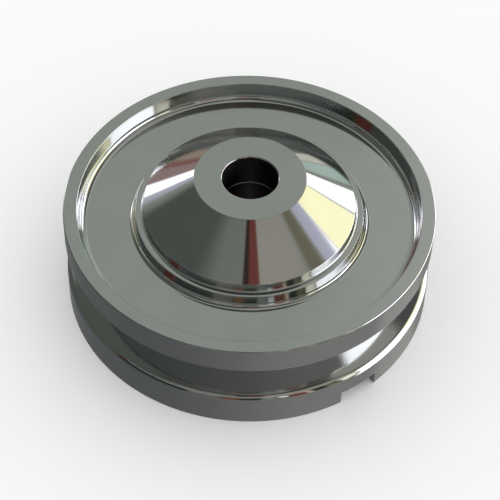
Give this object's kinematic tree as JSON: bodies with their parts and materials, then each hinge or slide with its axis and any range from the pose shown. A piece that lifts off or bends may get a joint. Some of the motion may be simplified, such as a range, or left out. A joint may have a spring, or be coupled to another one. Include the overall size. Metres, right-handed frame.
{
  "type": "split v-belt pulley",
  "caption": "Chromed split V-belt pulley: a front half with conical hub and recessed face slides on the rear half's spigot, with shims between them.",
  "frame": {"origin": "on the pulley's axis, in the plane of the rear flange's edge, which the pulley stands on", "axes": "+Z along the axis of rotation, from the rear flange to the hub's front face; the rear flange's notch is 37.2 degrees from -Y towards +X; the keyway is at -Y"},
  "size_m": [0.114, 0.114, 0.0462],
  "materials": {
    "chrome": "polished",
    "shim_steel": "satin"
  },
  "bodies": {
    "rear": {"rear_sheave_half": "chrome", "shim_1": "shim_steel", "shim_2": "shim_steel", "shim_3": "shim_steel", "shim_4": "shim_steel", "shim_5": "shim_steel", "shim_6": "shim_steel"},
    "front": {"front_sheave_half": "chrome"}
  },
  "joints": [
    {"name": "front_half_slide", "type": "slide", "parent": "rear", "child": "front", "axis": [0, 0, 1], "range_m": [0, 0.012]}
  ]
}
